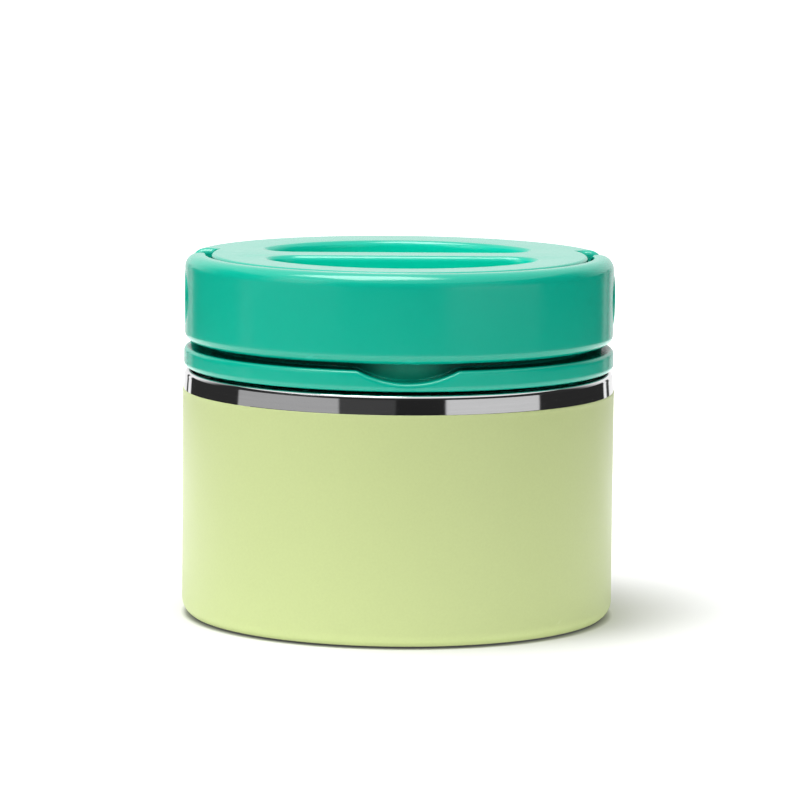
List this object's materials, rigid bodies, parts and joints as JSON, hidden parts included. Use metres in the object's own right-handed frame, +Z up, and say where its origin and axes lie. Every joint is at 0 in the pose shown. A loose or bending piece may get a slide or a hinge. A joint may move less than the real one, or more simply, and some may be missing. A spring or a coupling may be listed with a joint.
{
  "type": "insulated food jar",
  "caption": "Round vacuum-insulated food jar with a screw lid, a grip dish and bar in its top, and a carry handle that swings up from the lid's front.",
  "frame": {"origin": "middle of the foot's contact ring, on the table", "axes": "+Z up along the jar's axis, -Y towards the front where the finger scoop is, X along the handle's pivot line"},
  "size_m": [0.108, 0.108, 0.0905],
  "materials": {
    "polished_steel": "bright polished stainless steel",
    "brushed_liner": "fine turned stainless steel",
    "powder_coat": "satin lime powder coat, fine texture",
    "lid_plastic": "satin teal polypropylene",
    "carrier_plastic": "pale grey satin polypropylene",
    "silicone": "translucent white silicone",
    "pad": "matt dark grey rubber",
    "foam": "rigid foam",
    "screw_steel": "plain stainless steel",
    "washer_plastic": "natural acetal",
    "seal_glass": "dark sealing resin",
    "getter_metal": "dark sintered pellet"
  },
  "bodies": {
    "jar": {"outer_shell": "polished_steel", "powder_coat": "powder_coat", "inner_liner": "brushed_liner", "outer_base": "brushed_liner", "seal_bead": "seal_glass", "getter": "getter_metal", "base_pad": "pad"},
    "lid_seal": {"gasket": "silicone"},
    "lid": {"lid_shell": "lid_plastic", "seal_carrier": "carrier_plastic", "lid_insulation": "foam", "pivot_screw_left": "screw_steel", "pivot_screw_right": "screw_steel", "pivot_washer_left": "washer_plastic", "pivot_washer_right": "washer_plastic"},
    "handle": {"handle_band": "lid_plastic", "pivot_cap_left": "lid_plastic", "pivot_cap_right": "lid_plastic"}
  },
  "joints": [
    {"name": "lid_rise", "type": "slide", "parent": "jar", "child": "lid_seal", "axis": [0, 0, 1], "range_m": [0, 0.024]},
    {"name": "lid_turn", "type": "hinge", "parent": "lid_seal", "child": "lid", "pos_m": [0, 0, 0.0745], "axis": [0, 0, 1], "range_deg": [0, 1080]},
    {"name": "handle_swing", "type": "hinge", "parent": "lid", "child": "handle", "pos_m": [0, 0, 0.0797], "axis": [-1, 0, 0], "range_deg": [0, 90]}
  ],
  "couplings": [
    {"joint": "lid_rise", "follows": "lid_turn", "m_per_rad": 0.0012732}
  ]
}
